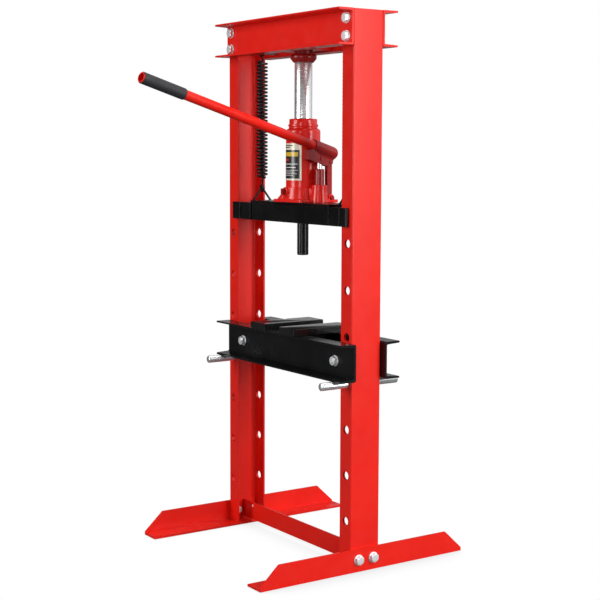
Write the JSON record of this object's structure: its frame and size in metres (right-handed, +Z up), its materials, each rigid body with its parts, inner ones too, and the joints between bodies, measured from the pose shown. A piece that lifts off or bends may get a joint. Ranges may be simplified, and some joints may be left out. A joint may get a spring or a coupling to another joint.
{
  "type": "hydraulic shop press",
  "caption": "Hydraulic shop press: a bolted H frame with a pinned bed, a spring-hung carriage with a bottle jack, and a pump handle.",
  "frame": {"origin": "on the floor, midway between the two columns and between the front and rear crown beams", "axes": "+X to the operator's right, -Y to the front where the handle points, +Z up"},
  "size_m": [0.5575, 0.7815, 1.2605],
  "materials": {
    "frame_red": "gloss enamel",
    "dark_red": "satin enamel",
    "jack_red": "gloss enamel",
    "black_paint": "satin enamel",
    "plate_black": "gloss enamel",
    "zinc_bolt": "zinc plated",
    "bright_steel": "ground bright",
    "spring_steel": "oiled black",
    "plain_steel": "machined",
    "grip_rubber": "fine texture",
    "seal_rubber": "smooth",
    "label_film": "printed film"
  },
  "bodies": {
    "frame": {"left_column": "frame_red", "right_column": "frame_red", "left_foot": "frame_red", "right_foot": "frame_red", "cross_brace": "frame_red", "crown_front_channel": "frame_red", "crown_rear_channel": "frame_red", "crown_bolster": "frame_red", "ram_seat": "dark_red", "crown_bolts": "zinc_bolt", "crown_washers": "zinc_bolt", "crown_nuts": "zinc_bolt", "foot_bolts": "zinc_bolt", "foot_washers": "zinc_bolt", "foot_nuts": "zinc_bolt", "spring_hangers": "plain_steel", "jack_ram": "bright_steel", "piston_seal": "seal_rubber", "left_spring": "spring_steel", "right_spring": "spring_steel"},
    "carriage": {"carriage_front_bar": "black_paint", "carriage_rear_bar": "black_paint", "guide_tubes": "black_paint", "carriage_face_strips": "black_paint", "jack_plate": "black_paint", "ram_plate": "black_paint", "press_ram": "black_paint", "spring_bails": "spring_steel", "jack_base": "jack_red", "jack_reservoir": "jack_red", "jack_cylinder": "plain_steel", "jack_gland_nut": "jack_red", "ram_wiper": "seal_rubber", "pump_cylinder": "dark_red", "jack_label": "label_film", "filler_plug": "seal_rubber", "check_balls": "bright_steel"},
    "pump_link_body": {"pump_link": "dark_red", "link_base_pin": "dark_red"},
    "lever": {"handle_socket": "dark_red", "plunger_pin": "dark_red", "link_top_pin": "dark_red"},
    "handle": {"handle_tube": "frame_red", "handle_grip": "grip_rubber"},
    "plunger": {"pump_plunger": "bright_steel", "plunger_seal": "seal_rubber"},
    "valve": {"release_valve": "dark_red"},
    "bed": {"bed_front_channel": "black_paint", "bed_rear_channel": "black_paint", "bed_spacers": "black_paint", "bed_bolts": "zinc_bolt", "bed_washers": "zinc_bolt", "bed_nuts": "zinc_bolt"},
    "left_pin": {"left_bed_pin": "bright_steel"},
    "right_pin": {"right_bed_pin": "bright_steel"},
    "left_plate": {"left_arbor_plate": "plate_black"},
    "right_plate": {"right_arbor_plate": "plate_black"}
  },
  "joints": [
    {"name": "carriage_slide", "type": "slide", "parent": "frame", "child": "carriage", "axis": [0, 0, 1], "range_m": [-0.015, 0.118], "deforming": ["left_spring", "right_spring"]},
    {"name": "link_swing", "type": "hinge", "parent": "carriage", "child": "pump_link_body", "pos_m": [0.06147, 0.03623, 0.841], "axis": [-0.9903, -0.1392, 0], "range_deg": [-2, 2]},
    {"name": "handle_pivot", "type": "hinge", "parent": "pump_link_body", "child": "lever", "pos_m": [0.06153, 0.03579, 0.92426], "axis": [-0.9903, -0.1392, 0], "range_deg": [-22, 20]},
    {"name": "handle_pull", "type": "slide", "parent": "lever", "child": "handle", "axis": [0.1339, -0.9529, 0.2723], "range_m": [0, 0.07]},
    {"name": "plunger_slide", "type": "slide", "parent": "carriage", "child": "plunger", "axis": [0, 0, 1], "range_m": [-0.0103, 0.0094]},
    {"name": "release_valve_turn", "type": "hinge", "parent": "carriage", "child": "valve", "pos_m": [0.00754, -0.05063, 0.855], "axis": [0.1392, -0.9903, 0], "range_deg": [0, 360]},
    {"name": "bed_lift", "type": "slide", "parent": "frame", "child": "bed", "axis": [0, 0, 1], "range_m": [0, 0.105]},
    {"name": "left_pin_pull", "type": "slide", "parent": "frame", "child": "left_pin", "axis": [0, -1, 0], "range_m": [0, 0.15]},
    {"name": "right_pin_pull", "type": "slide", "parent": "frame", "child": "right_pin", "axis": [0, -1, 0], "range_m": [0, 0.15]},
    {"name": "left_plate_slide", "type": "slide", "parent": "bed", "child": "left_plate", "axis": [1, 0, 0], "range_m": [-0.12, 0.028]},
    {"name": "right_plate_slide", "type": "slide", "parent": "bed", "child": "right_plate", "axis": [1, 0, 0], "range_m": [-0.028, 0.11]}
  ],
  "couplings": [
    {"joint": "link_swing", "follows": "handle_pivot", "ratio": -0.08},
    {"joint": "plunger_slide", "follows": "handle_pivot", "m_per_rad": 0.0265}
  ]
}
